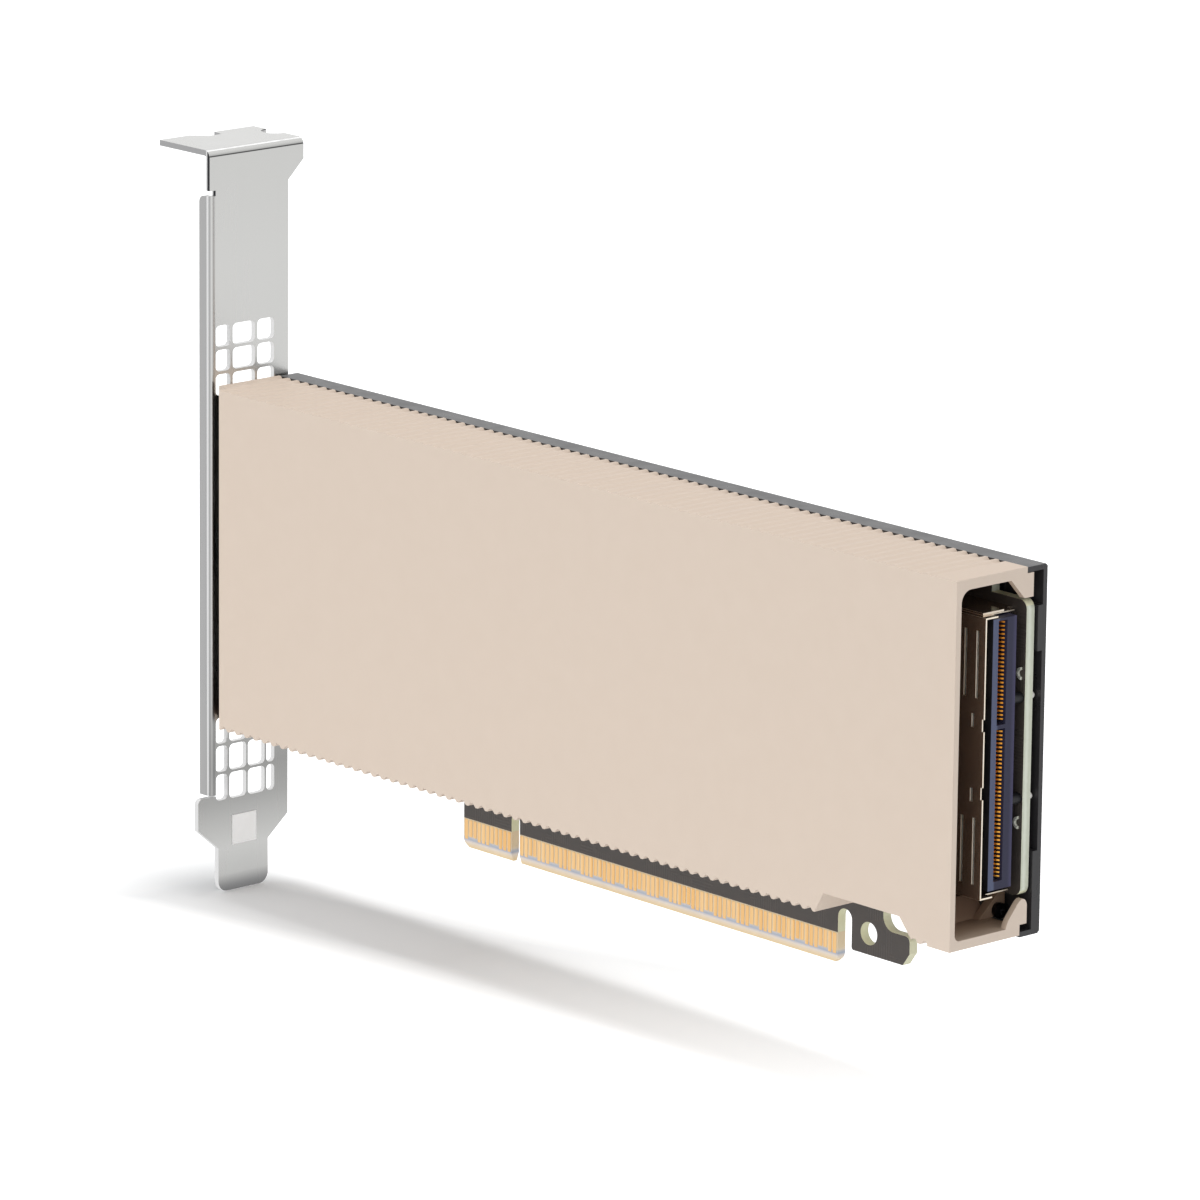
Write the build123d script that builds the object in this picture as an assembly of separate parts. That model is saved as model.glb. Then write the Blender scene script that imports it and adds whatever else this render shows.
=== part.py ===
from build123d import *
import os

# Half-length network adapter card with a full-height bracket, standing on its card edge.
# X runs from the bracket to the open end, Y from the component side to the solder side, Z up.
# Distances along X are measured from the bracket's inner face. The finished pieces are then moved
# so that the origin lies at the key notch, on the board's component face, at the contacts' lower ends.

# Board and card edge
card_length = 167.65
board_thickness = 1.57
board_left = 1.2
board_top = 65.6
board_bottom = 14.6
tongue_from_end = 0.45
tongue_right = card_length - tongue_from_end
tongue_length = 7.2
tongue_overlap = 4.0
board_main_right = tongue_right - tongue_length
tongue_bottom = 18.45
tongue_top = 62.5
tongue_corner = 1.4
key_from_bracket = 57.2
key_width = 1.9
key_top = 7.6
contact_pitch = 1.0
first_contact = 1.5
short_side_contacts = 11
long_side_contacts = 71
edge_margin = 0.65
contact_width = 0.7
contact_top = 4.6
contact_low = 1.45
contact_step = 0.45
contact_thickness = 0.06
edge_bevel_height = 1.3
edge_bevel_depth = 0.42
edge_corner = 0.8

# Retention tab at the far end of the card edge
slot_width = 2.95
slot_top = 8.7
tab_right = key_from_bracket + 87.4
tab_bottom = 2.75
tab_top = 7.3
tab_bottom_slope = (1.4, 1.95)
tab_top_corner = 0.9
tab_slot_corner = 0.45
hook_left = key_from_bracket + 81.75
hook_corner = 2.2
retention_from_key = 78.75
retention_height = 6.0
retention_radius = 1.75

# Heat sink cover
cover_depth = 14.6
cover_top = 67.65
cover_bottom = 12.8
cover_left = 0.25
front_left = 2.9
rebate_depth = 2.2
front_wall = 1.0
inner_top = 66.1
inner_bottom = 14.2
inner_corner_top = 1.9
inner_corner_bottom = 1.0
rib_pitch = 2.2
rib_height = 0.6
rib_rise = 0.3
rib_count = 74
cover_edge = 0.45
lip_reach = 0.84
notch_low = (key_from_bracket + 82.3, key_from_bracket + 102.8)
notch_high = (key_from_bracket + 84.1, key_from_bracket + 100.0)
notch_top = 16.0
notch_wall = 1.3
end_frame_thickness = 1.0
gusset_low = 63.1
gusset_left = 3.7
gusset_tip = 0.95
lobe_foot = -3.3
lobe_flank = ((-2.9, 1.0), (-1.95, 2.2), (-1.05, 3.3))
lobe_crest = (0.0, 4.0)
lobe_shoulder = (0.95, 3.0)
lobe_step = 0.2
web_thickness = 1.4
web_from_end = 6.0
web_foot = -2.85
web_crest = (1.3, 3.8)
web_gap = 0.4
cover_boss_radius = 2.6
cover_boss_from_wall = 2.7
cover_boss_columns = (50.5, 98.5)
cover_boss_last_top = card_length - 21.15
cover_boss_last_bottom = card_length - 33.15

# Screws
screw_fit = 0.03
cover_screw_radius = 1.2
cover_screw_head_radius = 2.3
cover_screw_engagement = 6.0
core_screw_engagement = 3.0
board_hole_clearance = 0.2
small_screw_radius = 0.95
small_screw_head_radius = 1.9
small_screw_head_height = 0.9
end_screw_radius = 0.7
end_screw_head_radius = 1.15
end_screw_head_height = 0.85
end_screw_tip = 0.15
end_screw_place = (0.9, inner_bottom + 0.95)

# Back plate
plate_outer = 3.6
plate_wall = 0.8
plate_left = 0.7
plate_top = 67.6
plate_bottom = 12.5
hook_edge = 0.4
plate_edge_chamfer = 0.35
board_opening_margin = 0.75
plate_boss_radius = 3.2
end_rib_width = 2.05
end_rib_depth = 0.9
end_rib_upper = (54.8, 61.6)
end_rib_lower = (13.3, 25.0)
film_thickness = 0.2
film_margin = 1.0

# Bracket
sheet = 0.9
bend_outer = 1.2
bracket_height = 120.02
bracket_far = 1.92
bracket_near = 14.05
shoulder_width = 18.42
shoulder_top = 0.95
shoulder_bottom = -4.2
tongue_width = 10.19
tongue_length = 7.24
taper_height = 3.5
tongue_near_offset = 4.13
bracket_tongue_corner = 1.8
flange_depth = 2.6
flange_gap = 0.15
flange_top = 97.8
flange_corner = 1.1
tab_length = 11.43
tab_width = 19.05
ear_bottom = 98.7
ear_straight = 101.7
tab_notch_radius = 2.21
tab_notch_centre = 7.0
tab_dip = (-8.0, -3.0)
tab_dip_depth = 2.2
grid_corner = 0.75
upper_grid_columns = ((-12.85, -9.9), (-9.4, -4.9), (-4.4, -1.0))
upper_grid_top = 77.1
upper_grid_pitch = 3.9
upper_grid_height = 3.4
upper_grid_rows = 3
lower_grid_columns = ((-12.85, -10.5), (-10.1, -6.65), (-6.3, -2.85), (-2.5, -0.85))
lower_grid_bottom = 0.15
lower_grid_pitch = 4.65
lower_grid_height = 4.25
lower_grid_rows = 3
foot_height = 5.0
foot_reach = 10.4
foot_window_depth = 10.1
foot_window_margin = 0.2
foot_screws_from_bracket = (3.9, 8.2)
label_size = (4.95, 4.85)
label_place = (-7.1, -5.1)
label_thickness = 0.1

# Module ports
port_middles = {"upper": 54.1, "lower": 26.1}
cage_height = 9.6
cage_width = 19.4
cage_wall = 0.3
cage_front = -1.9
cage_rear = 46.0
cage_window = (14.0, 38.5)
cage_window_width = 14.0
port_window_gap = 0.5
cage_pin = (0.8, 0.3)
cage_pin_length = 2.1
cage_pin_places = (6.0, 24.0, 42.0)
cage_pin_play = 0.4
latch_window = (5.0, 10.0)
latch_window_height = (-6.6, -3.6)
gasket_thickness = 0.2
gasket_length = 3.2
gasket_flange = 1.0
gasket_flange_thickness = 0.25
gasket_low = 1.2
gasket_slot = 0.5
gasket_slots = 7
port_connector_front = 36.0
port_connector_rear = 45.2
port_connector_height = 8.6
port_connector_width = 16.6
port_slot_depth = 4.6
port_slot_height = 1.5
port_slot_middle = 4.45
port_slot_width = 15.8
port_contact_pitch = 0.8
port_contacts_in_row = 19
port_contact_width = 0.36
port_contact_thickness = 0.15
rider_length = (12.0, 40.0)
rider_width = 17.2
rider_base = 1.0
rider_fins = 8
rider_fin_thickness = 0.8
rider_top_gap = 0.4
rider_groove = (24.0, 28.0)
pedestal_margin = 0.35
pedestal_drop = 0.6
clip_width = 3.0
clip_thickness = 0.25
clip_gap = 0.05
clip_leg_end = 5.0
pipe_size = 1.5
pipe_face = 2.7
pipe_spread = 1.4
pipe_end = 15.4
pipe_post = (11.2, 12.8)
led_size = (1.3, 0.6)
led_gap = 0.15
middle_height = 40.0

# Network controller and its heat sink
chip_middle = 97.0
substrate_size = 40.0
substrate_height = 1.4
lid_size = 26.0
lid_height = 0.9
pad_height = 0.3
pedestal_size = 30.0
pedestal_height = 1.2
core_length = (66.0, 130.0)
core_boss_gap = 1.0
core_clear = cover_boss_from_wall + cover_boss_radius + core_boss_gap
core_span = (inner_bottom + core_clear, inner_top - core_clear)
core_base = 1.4
core_fins = 15
core_fin_thickness = 0.8
core_top_gap = 0.3
core_post_radius = 2.2
core_post_inset = (6.0, 3.6)

# Components of the power supply and the rest of the board
stage_heights = (28.0, 36.0, 44.0, 52.0)
inductor_middle = 143.5
inductor_size = 6.6
inductor_height = 4.0
power_stage_middle = 136.0
power_stage_size = 5.0
power_stage_height = 0.8
bulk_middle = 56.8
bulk_size = (4.3, 7.3, 2.9)
bulk_heights = (25.0, 34.0, 46.0, 55.0)
ceramic_size = (0.6, 1.1, 0.5)
ceramic_offset = 22.0
ceramic_count = 13
ceramic_pitch = 2.7
flash_size = (6.0, 5.0, 1.2)
flash_place = (63.6, 27.5)
clock_size = (3.2, 2.5, 0.9)
clock_place = (63.2, 52.5)

# Auxiliary connector at the open end
aux_front = tongue_right
aux_length = 14.2
aux_rear = aux_front - aux_length
aux_middle = 40.55
aux_span = 40.3
aux_near_face = 6.7
aux_nose_far = 2.0
aux_nose_length = 3.0
aux_rear_block = 5.0
aux_slot_depth = 5.7
aux_slot = (-5.6, -3.85)
aux_pitch = 0.6
aux_lower_contacts = 37
aux_upper_contacts = 25
aux_group_gap = 1.8
aux_first_contact = 22.1
aux_slot_margin = 0.45
aux_rib = 0.6
aux_contact_width = 0.3
aux_contact_start = 0.5
aux_contact_ramp = 0.8
aux_contact_reach = 0.55
aux_contact_root = 0.3
aux_contact_length = 3.6
aux_foot_radius = 0.85
shell_sheet = 0.25
shell_near_face = 8.2
shell_bottom = 19.3
shell_top = 61.15
shell_lip = 5.7
shell_wall_end = 1.0
shell_wall_from_front = 1.5
shell_pad_from_front = (1.6, 9.2)
shell_pad_depth = (-7.2, -3.0)
shell_pad_height = 0.3
shell_slit_width = 0.45
shell_slit_columns = (1.6, 4.0)
shell_slit_span = (8.9, 18.8)
shell_short_slit_column = 2.25
shell_short_slit_span = (4.55, 6.5)
shell_edge_notch = (4.15, 5.95, 0.35)
lock_from_middle = 11.1
lock_from_end = 0.6
lock_outer = 0.95
lock_inner = 0.5
lock_height = 0.4
guide_from_middle = 7.5
guide_from_end = 1.0
guide_radius = 0.55
guide_length = 1.0
guide_tip = 0.15


def block(x, y, z):
    """A rectangular block between three pairs of limits."""
    size = (x[1] - x[0], y[1] - y[0], z[1] - z[0])
    return Pos(x[0], y[0], z[0]) * Box(*size, align=(Align.MIN, Align.MIN, Align.MIN))


def patch(u, v):
    """A rectangle between two pairs of limits, in its own plane."""
    return Pos((u[0] + u[1]) / 2, (v[0] + v[1]) / 2) * Rectangle(u[1] - u[0], v[1] - v[0])


def around(middle, width):
    """The limits of a length that is centred on a place."""
    return (middle - width / 2, middle + width / 2)


def through_y(outline, y):
    """An outline drawn in X and Z, made solid along Y."""
    plane = Plane(origin=(0, y[1], 0), x_dir=(1, 0, 0), z_dir=(0, -1, 0))
    return extrude(plane * outline, amount=y[1] - y[0])


def through_x(outline, x):
    """An outline drawn in Y and Z, made solid along X."""
    plane = Plane(origin=(x[0], 0, 0), x_dir=(0, 1, 0), z_dir=(1, 0, 0))
    return extrude(plane * outline, amount=x[1] - x[0])


def through_z(outline, z):
    """An outline drawn in X and Y, made solid along Z."""
    return extrude(Pos(0, 0, z[0]) * outline, amount=z[1] - z[0], dir=(0, 0, 1))


def disc(place, radius):
    """A circle at a place in its own plane."""
    return Pos(*place) * Circle(radius)


def pin_y(place, radius, y):
    """A round pin along Y at a place in X and Z."""
    return through_y(disc(place, radius), y)


def round_corners(sketch, corners, radius):
    """Rounds the corners of a flat outline that lie nearest to the places given."""
    chosen = [sketch.vertices().sort_by_distance((u, v, 0))[0] for u, v in corners]
    return fillet(chosen, radius)


def cover_screw_places():
    """Places of the long screws in X and Z: a row under the top wall and a row over the bottom wall."""
    top = inner_top - cover_boss_from_wall
    bottom = inner_bottom + cover_boss_from_wall
    upper = [(x, top) for x in (*cover_boss_columns, cover_boss_last_top)]
    lower = [(x, bottom) for x in (*cover_boss_columns, cover_boss_last_bottom)]
    return upper + lower


def core_screw_places():
    """Places of the four screws that pull the finned block onto the controller."""
    along = (core_length[0] + core_post_inset[0], core_length[1] - core_post_inset[0])
    upward = (core_span[0] + core_post_inset[1], core_span[1] - core_post_inset[1])
    return [(x, z) for x in along for z in upward]


def bracket_screw_places():
    """Places of the two screws in the bracket's foot."""
    return [(x, middle_height) for x in foot_screws_from_bracket]


def cage_pin_locations():
    """Places of the cages' pins in X and Z."""
    side = cage_width / 2 - cage_wall / 2
    return [(x, middle + way * side) for middle in port_middles.values()
            for x in cage_pin_places for way in (-1, 1)]


def guide_places():
    """Places of the auxiliary connector's plastic pegs."""
    offsets = (-guide_from_middle, guide_from_middle)
    return [(tongue_right - guide_from_end, aux_middle + offset) for offset in offsets]


def edge_limits():
    """Ends of the card edge: half a pitch and a margin past the last contacts."""
    left = key_from_bracket - first_contact - (short_side_contacts - 1) * contact_pitch - edge_margin
    right = key_from_bracket + first_contact + (long_side_contacts - 1) * contact_pitch + edge_margin
    return left, right


def circuit_board():
    """The board: main area, right-hand tongue, card edge with key notch, and retention tab."""
    left, right = edge_limits()
    tab_left = right + slot_width
    main = patch((board_left, board_main_right), (board_bottom, board_top))
    tongue = patch((board_main_right - tongue_overlap, tongue_right), (tongue_bottom, tongue_top))
    corners = [(tongue_right, tongue_bottom), (tongue_right, tongue_top)]
    tongue = round_corners(tongue, corners, tongue_corner)
    edge = patch((left, right), (0, board_bottom))
    edge = chamfer(edge.vertices().filter_by(lambda corner: corner.Y < 0.1), edge_corner)
    tab = patch((right, tab_right), (tab_bottom, board_bottom))
    tab -= patch((hook_left, tab_right + 1), (tab_top, board_bottom + 1))
    slope_foot = (tab_right - tab_bottom_slope[0], tab_bottom)
    slope_head = (tab_right, tab_bottom + tab_bottom_slope[1])
    tab -= make_face(Polyline(slope_foot, (tab_right, tab_bottom), slope_head, close=True))
    tab = round_corners(tab, [(hook_left, tab_top)], hook_corner)
    tab = round_corners(tab, [(tab_right, tab_top)], tab_top_corner)
    outline = main + tongue + edge + tab
    slot_radius = slot_width / 2
    outline -= patch((right, tab_left), (-1, slot_top - slot_radius))
    outline -= disc((right + slot_radius, slot_top - slot_radius), slot_radius)
    outline = round_corners(outline, [(tab_left, tab_bottom)], tab_slot_corner)
    key_radius = key_width / 2
    outline -= patch(around(key_from_bracket, key_width), (-1, key_top - key_radius))
    outline -= disc((key_from_bracket, key_top - key_radius), key_radius)
    outline -= disc((key_from_bracket + retention_from_key, retention_height), retention_radius)
    for place in cover_screw_places():
        outline -= disc(place, cover_screw_radius + board_hole_clearance)
    for place in core_screw_places() + bracket_screw_places():
        outline -= disc(place, small_screw_radius + board_hole_clearance)
    for x, z in cage_pin_locations():
        outline -= patch(around(x, cage_pin[0] + cage_pin_play), around(z, cage_pin[1] + cage_pin_play))
    for place in guide_places():
        outline -= disc(place, guide_radius + screw_fit)
    board = through_y(outline, (0, board_thickness))
    bevel = [(0, edge_bevel_height), (edge_bevel_depth, 0), (edge_bevel_depth, -1), (-1, -1)]
    bevel.append((-1, edge_bevel_height))
    other = [(board_thickness - y, z) for y, z in bevel]
    for points in (bevel, other):
        board -= through_x(make_face(Polyline(*points, close=True)), (left - 1, right + 1))
    return board


def edge_contacts(face, outward):
    """Gold contacts on one side of the card edge. Some are shorter, so that they connect last."""
    places = [key_from_bracket - first_contact - i * contact_pitch for i in range(short_side_contacts)]
    places += [key_from_bracket + first_contact + i * contact_pitch for i in range(long_side_contacts)]
    y = sorted((face, face + outward * contact_thickness))
    pads = []
    for index, x in enumerate(places):
        low = contact_low + contact_step * (index * 7 % 5 in (1, 3))
        pads.append(block(around(x, contact_width), y, (low, contact_top)))
    return pads


def ribbed_edge(z_crest, outward):
    """One long edge of the cover: ribs with a flat crest and sloping flanks, then a plain stretch."""
    middle = z_crest - outward * rib_height / 2
    valley = z_crest - outward * rib_height
    points = []
    for index in range(rib_count):
        x = cover_left + index * rib_pitch
        half = x + rib_pitch / 2
        points += [(x + rib_rise, z_crest), (half - rib_rise, z_crest)]
        points += [(half + rib_rise, valley), (x + rib_pitch - rib_rise, valley)]
    ribs_end = cover_left + rib_count * rib_pitch
    plain = [(ribs_end, middle), (ribs_end, z_crest), (card_length, z_crest)]
    return Polyline((cover_left, middle), *points, *plain)


def cover_outline():
    """The cover seen from the front."""
    top = ribbed_edge(cover_top, 1)
    bottom = ribbed_edge(cover_bottom, -1)
    start = Line((cover_left, cover_bottom + rib_height / 2), (cover_left, cover_top - rib_height / 2))
    end = Line((card_length, cover_bottom), (card_length, cover_top))
    return make_face(Wire([*top.edges(), *bottom.edges(), start, end]))


def cover_notch(margin):
    """Outline of the notch over the retention tab, grown by a margin."""
    low = cover_bottom - 1
    ceiling = notch_top + margin
    floor = (notch_low[0] - margin, notch_low[1] + margin)
    roof = (notch_high[0] - margin, notch_high[1] + margin)
    left = [(floor[0], low), (floor[0], cover_bottom), (roof[0], ceiling)]
    right = [(roof[1], ceiling), (floor[1], cover_bottom), (floor[1], low)]
    return make_face(Polyline(*left, *right, close=True))


def end_frame():
    """The thin frame of the open end: a gusset at the top and a rounded lobe at the bottom."""
    rise = inner_top + 0.6
    gusset = make_face(Polyline((-gusset_left, rise), (-gusset_left, inner_top), (-gusset_tip, gusset_low),
                                (lip_reach, gusset_low), (lip_reach, rise), close=True))
    sink = inner_bottom - 0.6
    foot = (lobe_foot, inner_bottom)
    swelling = [(y, inner_bottom + height) for y, height in (*lobe_flank, lobe_crest, lobe_shoulder)]
    shoulder = swelling[-1]
    step = inner_bottom + lobe_step
    swell = Spline(foot, *swelling, tangents=((0.3, 1), (0.2, -1)))
    rest = Polyline(shoulder, (shoulder[0], step), (-cover_edge, step), (-cover_edge, sink),
                    (lobe_foot, sink), foot)
    lobe = make_face(Wire([swell, *rest.edges()]))
    span = (card_length - end_frame_thickness, card_length)
    return through_x(gusset, span) + through_x(lobe, span)


def end_web():
    """The web with a sloping edge inside the open end, between the cover's floor and the board's tongue."""
    face = card_length - web_from_end
    far = plate_outer - plate_wall - web_gap
    top = inner_bottom + web_crest[1]
    sink = inner_bottom - 0.5
    outline = Polyline((web_foot, sink), (web_foot, inner_bottom), (web_crest[0], top), (far, top),
                       (far, inner_bottom), (-cover_edge, inner_bottom), (-cover_edge, sink), close=True)
    return through_x(make_face(outline), (face - web_thickness, face))


def heat_sink_cover():
    """The ribbed metal cover: a channel open at both ends and towards the board, with screw bosses."""
    inner_face = -cover_depth + front_wall
    cover = through_y(cover_outline(), (-cover_depth, -cover_edge))
    hollow = patch((inner_face, 5), (inner_bottom, inner_top))
    hollow = round_corners(hollow, [(inner_face, inner_top)], inner_corner_top)
    hollow = round_corners(hollow, [(inner_face, inner_bottom)], inner_corner_bottom)
    channel = through_x(hollow, (-1, card_length + 1))
    channel -= through_y(cover_notch(notch_wall), (-cover_depth, 5))
    cover -= channel
    cover -= through_y(cover_notch(0), (-cover_depth - 1, 5))
    rebate = (-cover_depth - 1, -cover_depth + rebate_depth)
    cover -= block((-1, front_left), rebate, (cover_bottom - 1, cover_top + 1))
    lip = (inner_top, inner_top + 0.6)
    cover += block((cover_left, card_length), (-cover_edge - 0.5, lip_reach), lip)
    cover += end_frame()
    cover += end_web()
    web_face = card_length - web_from_end
    hole = (web_face - web_thickness, web_face + 1)
    cover -= through_x(disc(end_screw_place, end_screw_radius + screw_fit), hole)
    for place in cover_screw_places():
        cover += pin_y(place, cover_boss_radius, (inner_face - 0.2, 0))
        cover -= pin_y(place, cover_screw_radius + screw_fit, (-cover_screw_engagement - 0.5, 0))
    return cover


def back_plate():
    """The dark tray behind the board, with hooks over its long edges and bosses at the screws."""
    left, right = edge_limits()
    length = (plate_left, card_length)
    inner = plate_outer - plate_wall
    plate = block(length, (inner, plate_outer), (plate_bottom, plate_top))
    plate += block(length, (-hook_edge, plate_outer), (plate_top - plate_wall, plate_top))
    floor = (plate_bottom, plate_bottom + plate_wall)
    opening = (left - board_opening_margin, tab_right + board_opening_margin)
    plate += block((plate_left, opening[0]), (-hook_edge, plate_outer), floor)
    plate += block(opening, (board_thickness + 0.15, plate_outer), floor)
    plate += block((opening[1], card_length), (-hook_edge, plate_outer), floor)
    for span in (end_rib_upper, end_rib_lower):
        plate += block((card_length - end_rib_width, card_length), (inner - end_rib_depth, inner), span)
    long_edges = plate.edges().filter_by(Axis.X).filter_by(lambda edge: edge.center().Y > plate_outer - 0.01)
    plate = chamfer(long_edges, plate_edge_chamfer)
    cone_depth = cover_screw_head_radius - cover_screw_radius
    for place in cover_screw_places():
        plate += pin_y(place, plate_boss_radius, (board_thickness, inner))
        plate -= pin_y(place, cover_screw_radius + board_hole_clearance, (0, plate_outer + 1))
        plate -= countersink(place, cover_screw_head_radius + screw_fit, cone_depth)
    return plate


def countersink(place, radius, depth):
    """A cone that opens at the back plate's outer face."""
    cone = Cone(bottom_radius=radius, top_radius=radius - depth, height=depth,
                align=(Align.CENTER, Align.CENTER, Align.MIN))
    return Pos(place[0], plate_outer, place[1]) * Rot(90, 0, 0) * cone


def insulating_film():
    """A film against the back plate that keeps it off the soldered pins."""
    inner = plate_outer - plate_wall
    height = (board_bottom + film_margin, board_top - film_margin)
    film = patch((board_left + film_margin, board_main_right), height)
    for place in cover_screw_places():
        film -= disc(place, plate_boss_radius + film_margin / 2)
    return through_y(film, (inner - film_thickness, inner))


def cover_screws():
    """Countersunk screws from the back plate into the cover's bosses."""
    cone_depth = cover_screw_head_radius - cover_screw_radius
    screws = []
    for place in cover_screw_places():
        shank = pin_y(place, cover_screw_radius, (-cover_screw_engagement, plate_outer - 0.05))
        head = countersink(place, cover_screw_head_radius, cone_depth)
        drive = through_y(Pos(*place) * RegularPolygon(0.9, 6), (plate_outer - 0.7, plate_outer))
        screws.append(shank + head - drive)
    return screws


def board_screws(places, engagement):
    """Pan-head screws that enter from the solder side."""
    screws = []
    for place in places:
        shank = pin_y(place, small_screw_radius, (-engagement, board_thickness))
        head_face = board_thickness + small_screw_head_height
        screws.append(shank + pin_y(place, small_screw_head_radius, (board_thickness, head_face)))
    return screws


def end_screw():
    """The small screw in the cover's web, along X."""
    seat = card_length - web_from_end
    tip = seat - web_thickness - end_screw_tip
    shank = through_x(disc(end_screw_place, end_screw_radius), (tip, seat))
    head = through_x(disc(end_screw_place, end_screw_head_radius), (seat, seat + end_screw_head_height))
    recess = Pos(*end_screw_place) * (Rectangle(1.3, 0.35) + Rectangle(0.35, 1.3))
    return shank + head - through_x(recess, (seat + 0.5, seat + end_screw_head_height))


def rounded_patch(u, v, radius):
    """A rectangle with four equal round corners."""
    middle = Pos((u[0] + u[1]) / 2, (v[0] + v[1]) / 2)
    return middle * RectangleRounded(u[1] - u[0], v[1] - v[0], radius)


def vent_grid():
    """All the vent holes of the bracket, above and below the ports."""
    holes = Sketch()
    for column in upper_grid_columns:
        for row in range(upper_grid_rows):
            top = upper_grid_top - row * upper_grid_pitch
            holes += rounded_patch(column, (top - upper_grid_height, top), grid_corner)
    for column in lower_grid_columns:
        for row in range(lower_grid_rows):
            low = lower_grid_bottom + row * lower_grid_pitch
            holes += rounded_patch(column, (low, low + lower_grid_height), grid_corner)
    return holes


def bent_strip(straight, start, length):
    """Section of a strip that turns a right angle: a straight leg, a bend and a second leg.
    It starts at the origin's outer side and is drawn with the bend's outer arc at the far corner."""
    outer = bend_outer
    inner = bend_outer - sheet
    middle = 0.5 ** 0.5
    outside = ThreePointArc((0, -outer), (-outer + outer * middle, -outer + outer * middle), (-outer, 0))
    turn = -outer + inner * middle
    inside = ThreePointArc((-sheet, -outer), (turn, turn), (-outer, -sheet))
    legs = [Line((0, -outer), (0, -straight)), Line((0, -straight), (-sheet, -straight)),
            Line((-sheet, -straight), (-sheet, -outer)), Line((-outer, 0), (-length, 0)),
            Line((-length, 0), (-length, -sheet)), Line((-length, -sheet), (-outer, -sheet))]
    return Pos(*start) * make_face(Wire([outside, inside, *legs]))


def bracket_outline():
    """The flat of the bracket: upper strip, head with its ear, shoulder, taper and tongue."""
    bottom = shoulder_bottom - taper_height - tongue_length
    top = bottom + bracket_height
    shoulder_near = bracket_far - shoulder_width
    tongue_near = shoulder_near + tongue_near_offset
    tongue_far = tongue_near + tongue_width
    strip = patch((-bracket_near + bend_outer, bracket_far), (shoulder_bottom, top - bend_outer))
    shoulder = patch((shoulder_near, bracket_far), (shoulder_bottom, shoulder_top))
    shoulder = round_corners(shoulder, [(shoulder_near, shoulder_top)], 0.8)
    narrow = shoulder_bottom - taper_height
    taper = make_face(Polyline((shoulder_near, shoulder_bottom), (bracket_far, shoulder_bottom),
                               (tongue_far, narrow), (tongue_near, narrow), close=True))
    tongue = patch((tongue_near, tongue_far), (bottom, narrow))
    tongue = round_corners(tongue, [(tongue_near, bottom), (tongue_far, bottom)], bracket_tongue_corner)
    ear = tab_width - bracket_near
    head = make_face(Polyline((-bracket_near, ear_bottom), (bracket_far, ear_bottom), (ear, ear_straight),
                              (ear, top - bend_outer), (-bracket_near, top - bend_outer), close=True))
    outline = strip + shoulder + taper + tongue + head
    port_side = port_window_gap
    for middle in port_middles.values():
        outline -= patch((-cage_height - port_side, port_side), around(middle, cage_width + 2 * port_side))
    window = (-foot_window_depth, bend_outer - sheet)
    outline -= patch(window, around(middle_height, foot_height + 2 * foot_window_margin))
    return outline - vent_grid(), top


def bracket():
    """The folded steel bracket."""
    outline, top = bracket_outline()
    piece = through_x(outline, (-sheet, 0))
    section = bent_strip(bend_outer + 0.01, (0, 0), flange_depth)
    flange = Pos(0, -bracket_near) * mirror(section, about=Plane.XZ)
    flange = through_z(flange, (shoulder_top + flange_gap, flange_top))
    corner = flange.edges().filter_by(Axis.Y).sort_by(lambda edge: edge.center().Z - edge.center().X)[-1]
    piece += fillet([corner], flange_corner)
    tab_outline = bent_strip(bend_outer + 0.01, (0, top), tab_length + sheet)
    tab = through_y(tab_outline, (-bracket_near, tab_width - bracket_near))
    piece += tab - tab_cuts(top)
    return piece + bracket_foot()


def tab_cuts(top):
    """Screw notch in the tab's far side and the shallow dip in its outer edge."""
    far = tab_width - bracket_near
    height = (top - 2, top + 1)
    notch = through_z(disc((-tab_notch_centre, far), tab_notch_radius), height)
    edge = -tab_length - sheet
    near, end = tab_dip
    dip = make_face(Polyline((edge - 1, near), (edge, near), (edge + tab_dip_depth, near + tab_dip_depth),
                             (edge + tab_dip_depth, end - 0.3), (edge, end), (edge - 1, end), close=True))
    return notch + through_z(dip, height)


def bracket_foot():
    """The foot lanced from the bracket, bent inwards to lie on the board's component face."""
    outer = bend_outer
    inner = bend_outer - sheet
    middle = 0.5 ** 0.5
    corner = inner
    turns = [corner - radius * middle for radius in (outer, inner)]
    outside = ThreePointArc((-sheet, corner), (turns[0], turns[0]), (corner, -sheet))
    inside = ThreePointArc((0, corner), (turns[1], turns[1]), (corner, 0))
    legs = [Line((-sheet, corner), (-sheet, corner + 0.2)), Line((-sheet, corner + 0.2), (0, corner + 0.2)),
            Line((0, corner + 0.2), (0, corner)), Line((corner, -sheet), (foot_reach, -sheet)),
            Line((foot_reach, -sheet), (foot_reach, 0)), Line((foot_reach, 0), (corner, 0))]
    foot = through_z(make_face(Wire([outside, inside, *legs])), around(middle_height, foot_height))
    for place in bracket_screw_places():
        foot -= pin_y(place, small_screw_radius + screw_fit, (-2, 1))
    return foot


def bracket_label():
    """A small blank sticker on the shoulder's inner face."""
    outline = patch(around(label_place[0], label_size[0]), around(label_place[1], label_size[1]))
    return through_x(outline, (0, label_thickness))


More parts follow.
